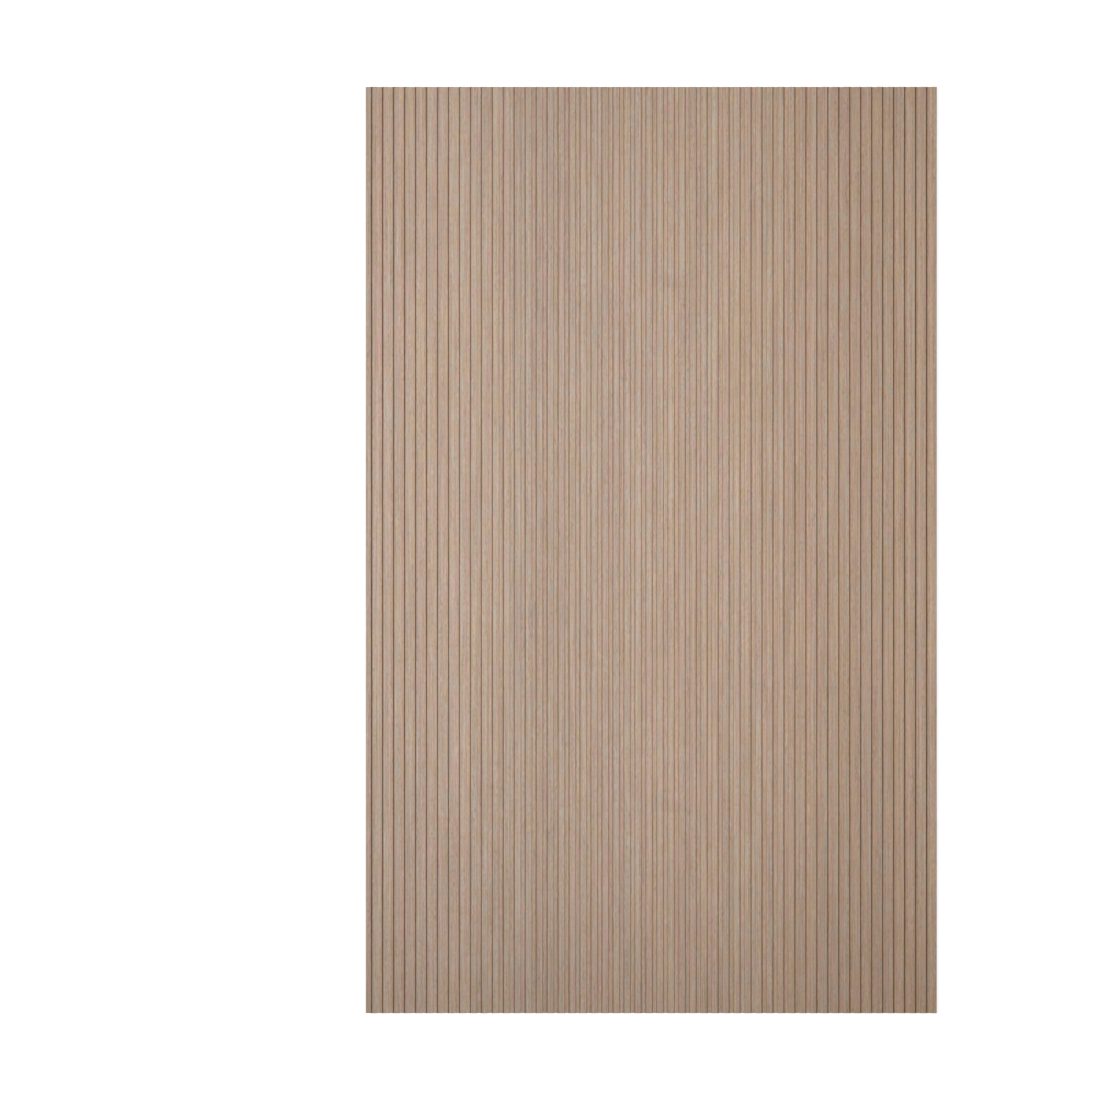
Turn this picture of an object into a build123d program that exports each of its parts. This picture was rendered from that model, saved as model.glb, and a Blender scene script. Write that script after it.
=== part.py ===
from build123d import *
import math
import os

# Slatted PVC wall panel: one extruded sheet. Its face is a row of flat-topped slats with open grooves
# between them, and its back is plain. It lies on its back: X across the slats, Y along them, Z up
# through the face, with the origin under the middle of the back.

# Driving dimensions, in millimetres
panel_width = 1220.0
panel_length = 1980.0
web_thickness = 4.0
slat_height = 5.0
slat_pitch = 23.42
slat_top_width = 11.5
slat_edge_radius = 0.4
groove_root_radius = 0.3

# Driving angle, in degrees: how far each slat wall leans in from upright
wall_draft = 30.0

# Worked out: the whole thickness, a slat's width where its walls meet the web, the strip of web that its
# root radii run out on, and how many slats fit across the panel
panel_thickness = web_thickness + slat_height
wall_run = slat_height * math.tan(math.radians(wall_draft))
slat_foot_width = slat_top_width + 2 * wall_run
slat_strip_width = slat_foot_width + 2 * groove_root_radius
slat_count = int(panel_width // slat_pitch)

# The right edge is sawn square where the last slat's top ends, so its outer wall is cut off. The others
# follow from there at the pitch, and what is left of the width is the lip at the left edge: a bare strip
# of web, where the next panel butts.
last_slat_x = (panel_width - slat_top_width) / 2
slat_places = [(last_slat_x - index * slat_pitch, 0) for index in range(slat_count)]


def make_slat():
    """One slat's cross-section on its own strip of web, with its edges and roots rounded."""
    with BuildSketch() as slat:
        Rectangle(slat_strip_width, web_thickness, align=(Align.CENTER, Align.MIN))
        with Locations((0, web_thickness)):
            Trapezoid(slat_foot_width, slat_height, 90 - wall_draft, align=(Align.CENTER, Align.MIN))
        edges = slat.vertices().group_by(Axis.Y)[-1]
        fillet(edges, slat_edge_radius)
        web_corners = slat.vertices().group_by(Axis.Y)[1].sort_by(Axis.X)
        fillet(web_corners[1:-1], groove_root_radius)
    return slat.sketch


def make_section():
    """The whole cross-section, drawn in X and Z: the web, with a slat at each place, sawn to the width."""
    slat = make_slat()
    with BuildSketch() as section:
        Rectangle(panel_width, web_thickness, align=(Align.CENTER, Align.MIN))
        with Locations(*slat_places):
            add(slat)
        Rectangle(panel_width, panel_thickness, align=(Align.CENTER, Align.MIN), mode=Mode.INTERSECT)
    return section.sketch


def make_panel():
    """The section drawn out along the slats, from the far end to the near one."""
    far_end = Plane.XZ.offset(-panel_length / 2)
    return extrude(far_end * make_section(), amount=panel_length)


panel = make_panel()
panel.label = "panel"

os.makedirs("parts", exist_ok=True)
export_step(panel, "parts/panel.step")
print("slats:", slat_count, "size:", panel.bounding_box().size, "volume, litres:", panel.volume / 1e6)
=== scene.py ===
import math

import bpy
from mathutils import Color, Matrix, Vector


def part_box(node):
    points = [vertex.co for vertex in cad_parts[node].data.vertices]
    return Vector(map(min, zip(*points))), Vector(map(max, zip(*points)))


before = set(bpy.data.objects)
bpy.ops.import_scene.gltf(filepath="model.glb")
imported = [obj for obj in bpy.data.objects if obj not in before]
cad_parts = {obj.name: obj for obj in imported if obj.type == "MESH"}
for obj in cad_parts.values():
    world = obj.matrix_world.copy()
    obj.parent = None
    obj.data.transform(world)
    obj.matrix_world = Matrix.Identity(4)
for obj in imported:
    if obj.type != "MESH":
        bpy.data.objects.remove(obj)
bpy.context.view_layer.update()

# The panel is one extruded sheet of foamed PVC, sawn square all round. A printed wood-decor film is
# laminated over its slats and grooves and pressed with fine pores, and the bare PVC shows on the back,
# along the side edges and at the sawn ends.
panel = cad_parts["panel"]
panel_highest_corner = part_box("panel")[1]
panel_half_width, panel_half_length, panel_top = panel_highest_corner

finish = bpy.data.materials.new("wood_decor_on_pvc")
finish.use_nodes = True
finish_nodes = finish.node_tree.nodes
finish_links = finish.node_tree.links
finish_nodes.clear()


def feed(socket, source):
    """Feeds a socket with a link from another node's output, or with a plain value."""
    if isinstance(source, bpy.types.NodeSocket):
        finish_links.new(source, socket)
    else:
        socket.default_value = source


def in_use(sockets):
    """The sockets that a node uses as it is set, in order."""
    return [socket for socket in sockets if socket.enabled]


def add_node(kind, *sources, output=None, **settings):
    """Adds a node to the finish, feeds its inputs in order, and gives the output named, or its first."""
    made = finish_nodes.new("ShaderNode" + kind)
    for name, value in settings.items():
        setattr(made, name, value)
    for socket, source in zip(in_use(made.inputs), sources):
        feed(socket, source)
    return made.outputs[output] if output else in_use(made.outputs)[0]


def maths(operation, *sources):
    """One sum on values that are links or numbers."""
    return add_node("Math", *sources, operation=operation)


def mixed(share, first, second):
    """The first colour or value where share is 0, and the second where it is 1."""
    return add_node("Mix", share, first, second, data_type="RGBA")


def ramp(value, low, high, first, last):
    """first where the value is low or less, last where it is high or more, and an even slope between."""
    return add_node("MapRange", value, low, high, first, last)


def shaded(colour, lightness):
    """A colour made lighter or darker. A lightness of 1 leaves it as it is."""
    return add_node("VectorMath", colour, lightness, operation="SCALE")


def srgb(red, green, blue):
    """A colour as a shader takes it, from its 0 to 255 levels on a screen."""
    levels = Color((red / 255, green / 255, blue / 255))
    return (*levels.from_srgb_to_scene_linear(), 1)


place = add_node("TexCoord", output="Object")
across, along, height = add_node("SeparateXYZ", place).node.outputs


def patches(size, detail, start):
    """Noise in patches of about this size in X, Y and Z, in metres. start picks a stretch of it."""
    shift = (start, 0, 0)
    no_turn = (0, 0, 0)
    patches_per_metre = [1 / side for side in size]
    stretched = add_node("Mapping", place, shift, no_turn, patches_per_metre)
    noise_scale = 1
    return add_node("TexNoise", stretched, noise_scale, detail)


# The print's lightness: bands longer than the panel, streaks, flecks and fine fibres, each with its depth.
# It starts low, because noise swings about its middle and so adds half of each depth on the whole.
noise_middle = 0.5
band = patches((0.015, 3.0, 0.015), detail=0, start=0)
streak = patches((0.0021, 0.28, 0.0021), detail=3, start=40)
fleck = patches((0.0020, 0.045, 0.0020), detail=2, start=280)
fibre = patches((0.0009, 0.12, 0.0009), detail=3, start=440)
layers = ((band, 0.12), (streak, 0.80), (fleck, 0.40), (fibre, 0.46))
lightness = 1 - noise_middle * sum(depth for layer, depth in layers)
for layer, depth in layers:
    lightness = maths("MULTIPLY_ADD", layer, depth, lightness)

# The ticks gather in some streaks and leave others calm
tick_depth = 0.46
calm_level = 0.35
busy_level = 0.65
calm_ticks = 0.1
busy_ticks = 1.8
tick = patches((0.0017, 0.010, 0.0017), detail=2, start=80)
busy_streaks = patches((0.006, 0.12, 0.006), detail=0, start=400)
tick_share = ramp(busy_streaks, calm_level, busy_level, calm_ticks, busy_ticks)
tick_swing = maths("MULTIPLY", maths("SUBTRACT", tick, noise_middle), tick_share)
lightness = maths("MULTIPLY_ADD", tick_swing, tick_depth, lightness)

# Short dark pores are printed where they are pressed into the film
pore_depth = 0.22
pore_edge_level = 0.58
pore_floor_level = 0.68
pores = patches((0.0006, 0.010, 0.0006), detail=1, start=320)
pore_share = ramp(pores, pore_edge_level, pore_floor_level, 0, 1)
lightness = maths("MULTIPLY_ADD", pore_share, -pore_depth, lightness)

# The print repeats along the panel, and each repeat has a faint slanted smudge
print_repeat = 1.12
smudge_middle = (0.042, -0.551, 0)
smudge_turn = (0, 0, math.radians(-20))
smudge_reach = (0.08, 0.025, 1)
smudge_depth = 0.09
repeat_along = maths("WRAP", along, print_repeat / 2, -print_repeat / 2)
repeat_place = add_node("CombineXYZ", across, repeat_along)
smudge_lie = (smudge_middle, smudge_turn, smudge_reach)
smudge_place = add_node("Mapping", repeat_place, *smudge_lie, vector_type="TEXTURE")
smudge = add_node("TexGradient", smudge_place, output="Fac", gradient_type="SPHERICAL")
lightness = maths("MULTIPLY_ADD", smudge, -smudge_depth, lightness)

# The print's tint is greyish beige, pinkish in patches and where it is darker, with ochre through both
grey_beige = srgb(177, 165, 151)
pink_beige = srgb(189, 158, 145)
ochre_beige = srgb(183, 160, 136)
pink_spot_weight = 0.8
pink_low_level = -0.35
pink_high_level = 0.15
ochre_low_level = 0.75
ochre_high_level = 1.35
pink_streaks = patches((0.009, 2.0, 0.009), detail=1, start=120)
pink_spots = patches((0.010, 0.03, 0.010), detail=0, start=160)
pink_patches = maths("MULTIPLY_ADD", pink_spots, pink_spot_weight, pink_streaks)
pinkness = maths("SUBTRACT", pink_patches, lightness)
pink_share = ramp(pinkness, pink_low_level, pink_high_level, 0, 1)
ochre_streaks = patches((0.011, 0.6, 0.011), detail=1, start=200)
ochre_spots = patches((0.012, 0.03, 0.012), detail=0, start=240)
ochre_patches = maths("ADD", ochre_streaks, ochre_spots)
ochre_share = ramp(ochre_patches, ochre_low_level, ochre_high_level, 0, 1)
tint = mixed(ochre_share, mixed(pink_share, grey_beige, pink_beige), ochre_beige)
print_colour = shaded(tint, lightness)

# Painted light and shade: the film is painted paler and a little warmer down the slats' walls, and darker
# in the grooves
web_thickness = 0.004
slat_edge_radius = 0.0004
no_tint = (1, 1, 1, 1)
# painted light: the slats' walls are made paler than the print
wall_painted_light = (1.085, 1.057, 1.02, 1)
# painted shade: the groove floors are made darker and a touch warmer than the print
groove_painted_shade = (0.95, 0.935, 0.922, 1)
painted_wall_light_share = ramp(height, panel_top - slat_edge_radius, panel_top, 1, 0)
painted_groove_shade_share = ramp(height, web_thickness, web_thickness + slat_edge_radius, 1, 0)
painted_wall_light_and_groove_shade = mixed(painted_groove_shade_share, mixed(painted_wall_light_share, no_tint, wall_painted_light), groove_painted_shade)
film_with_painted_shade = add_node("VectorMath", print_colour, painted_wall_light_and_groove_shade, operation="MULTIPLY")

# The bare PVC is pale, with fine closed cells and the marks of the saw
core_colour = srgb(212, 200, 182)
cells_per_metre = 1100
cell_reach = 0.5
cell_middle_shade = 0.74
cell_wall_shade = 0.88
saw_mark_depth = 0.24
cells = add_node("TexVoronoi", place, cells_per_metre)
saw_marks = patches((0.0007, 0.0007, 0.02), detail=2, start=360)
cell_shade = ramp(cells, 0, cell_reach, cell_middle_shade, cell_wall_shade)
core_shade = maths("MULTIPLY_ADD", saw_marks, saw_mark_depth, cell_shade)
bare_colour = shaded(core_colour[:3], core_shade)

# The film ends at the sawn edges and ends, and doesn't reach round to the back
film_edge = 0.00005
past_ends = maths("GREATER_THAN", maths("ABSOLUTE", along), panel_half_length - film_edge)
past_sides = maths("GREATER_THAN", maths("ABSOLUTE", across), panel_half_width - film_edge)
on_back = maths("LESS_THAN", height, film_edge)
bare = maths("MAXIMUM", maths("MAXIMUM", past_ends, past_sides), on_back)

# The film's pores and the saw's marks in relief, and how far each finish scatters a shine
relief_depth = 0.0001
relief_strength = 0.4
roughness_swing = 0.2
film_least_roughness = 0.45
core_least_roughness = 0.65
shine = 0.25
relief = mixed(bare, maths("SUBTRACT", 1, pore_share), saw_marks)
film_roughness = maths("MULTIPLY_ADD", fibre, roughness_swing, film_least_roughness)
core_roughness = maths("MULTIPLY_ADD", cells, roughness_swing, core_least_roughness)

shader = finish_nodes.new("ShaderNodeBsdfPrincipled")
feed(shader.inputs["Base Color"], mixed(bare, film_with_painted_shade, bare_colour))
feed(shader.inputs["Roughness"], mixed(bare, film_roughness, core_roughness))
feed(shader.inputs["Specular IOR Level"], shine)
bump = finish_nodes.new("ShaderNodeBump")
feed(bump.inputs["Strength"], relief_strength)
feed(bump.inputs["Distance"], relief_depth)
feed(bump.inputs["Height"], relief)
feed(shader.inputs["Normal"], bump.outputs["Normal"])
surface = finish_nodes.new("ShaderNodeOutputMaterial")
feed(surface.inputs["Surface"], shader.outputs["BSDF"])
panel.material_slots[0].material = finish

# The floor is plain white board, just under the panel's back. Where it is seen it adds light of its own,
# so it stays white out to the picture's edge, and the panel's shadow still falls on it.
floor_reach = 60.0
floor_drop = 0.0005
floor_white = (0.8, 0.8, 0.8, 1)
floor_roughness = 0.9
floor_glow = 0.84
floor_glow_colour = (0.95, 1.0, 1.06, 1)
bpy.ops.object.select_all(action="DESELECT")
bpy.ops.mesh.primitive_plane_add(size=floor_reach, location=(0, 0, -floor_drop))
floor = bpy.context.object
floor.name = "floor"
floor_paint = bpy.data.materials.new("floor_paint")
floor_paint.use_nodes = True
floor_tree = floor_paint.node_tree
floor_shader = floor_tree.nodes["Principled BSDF"]
floor_shader.inputs["Base Color"].default_value = floor_white
floor_shader.inputs["Roughness"].default_value = floor_roughness
floor_shader.inputs["Emission Color"].default_value = floor_glow_colour


def seen_share(tree):
    """1 for a ray that shows the background, straight or in a reflection or glass, and 0 for light."""
    path = tree.nodes.new("ShaderNodeLightPath")
    share = path.outputs["Is Camera Ray"]
    for ray in ("Is Glossy Ray", "Is Transmission Ray"):
        either = tree.nodes.new("ShaderNodeMath")
        either.operation = "MAXIMUM"
        tree.links.new(share, either.inputs[0])
        tree.links.new(path.outputs[ray], either.inputs[1])
        share = either.outputs[0]
    return share


floor_light = floor_tree.nodes.new("ShaderNodeMath")
floor_light.operation = "MULTIPLY"
floor_light.inputs[1].default_value = floor_glow
floor_tree.links.new(seen_share(floor_tree), floor_light.inputs[0])
floor_tree.links.new(floor_light.outputs[0], floor_shader.inputs["Emission Strength"])
floor.data.materials.append(floor_paint)

# The light is a pair of long soft boxes side by side over the middle of the panel, one turned to each
# side, in a dim warm room. It fades gently with distance, so the slats are lit almost evenly, while
# the side that it reaches them from changes across the panel.
box_height = 0.75
box_y = 0.18
box_width = 0.3
box_length = 2.66
# Each box's name, place across the panel, turn in degrees, strength and colour
soft_boxes = (
    ("left_box", -0.12, 52, 18.4, (0.94, 1.0, 1.06)),
    ("right_box", 0.08, -67.5, 17.0, (0.975, 1.0, 1.01)),
)
for box_name, box_x, box_turn, box_strength, box_colour in soft_boxes:
    bpy.ops.object.light_add(type="AREA", location=(box_x, box_y, panel_top + box_height))
    box = bpy.context.object
    box.name = box_name
    box.rotation_euler.y = math.radians(box_turn)
    box.visible_camera = False
    box.data.shape = "RECTANGLE"
    box.data.size = box_width
    box.data.size_y = box_length
    box.data.energy = 1
    box.data.color = box_colour
    box.data.use_nodes = True
    box_tree = box.data.node_tree
    falloff = box_tree.nodes.new("ShaderNodeLightFalloff")
    falloff.inputs["Strength"].default_value = box_strength
    box_tree.links.new(falloff.outputs["Linear"], box_tree.nodes["Emission"].inputs["Strength"])

room_strength = 0.098
room_colour = (1.46, 0.955, 0.475, 1)
seen_white = (1, 1, 1, 1)
room = bpy.data.worlds.new("room")
room.use_nodes = True
bpy.context.scene.world = room
room_tree = room.node_tree
room_light = room_tree.nodes["Background"]
room_light.inputs["Color"].default_value = room_colour
room_light.inputs["Strength"].default_value = room_strength
room_white = room_tree.nodes.new("ShaderNodeBackground")
room_white.inputs["Color"].default_value = seen_white
room_mix = room_tree.nodes.new("ShaderNodeMixShader")
room_tree.links.new(seen_share(room_tree), room_mix.inputs[0])
room_tree.links.new(room_light.outputs[0], room_mix.inputs[1])
room_tree.links.new(room_white.outputs[0], room_mix.inputs[2])
room_tree.links.new(room_mix.outputs[0], room_tree.nodes["World Output"].inputs["Surface"])

# The camera looks straight down on the panel from far off, so its sides stay parallel in the picture.
# It stands to the left of the panel's middle, as the photo frames it.
picture_pixels = 1100
panel_pixels = 571
panel_middle_pixel = 651.3
metres_per_pixel = 2 * panel_half_width / panel_pixels
camera_distance = 13.0
camera_x = (picture_pixels / 2 - panel_middle_pixel) * metres_per_pixel
bpy.ops.object.camera_add(location=(camera_x, 0, panel_top + camera_distance), rotation=(0, 0, 0))
camera = bpy.context.object
camera.data.lens = camera.data.sensor_width * camera_distance / (picture_pixels * metres_per_pixel)
bpy.context.scene.camera = camera
bpy.context.scene.view_settings.view_transform = "Standard"
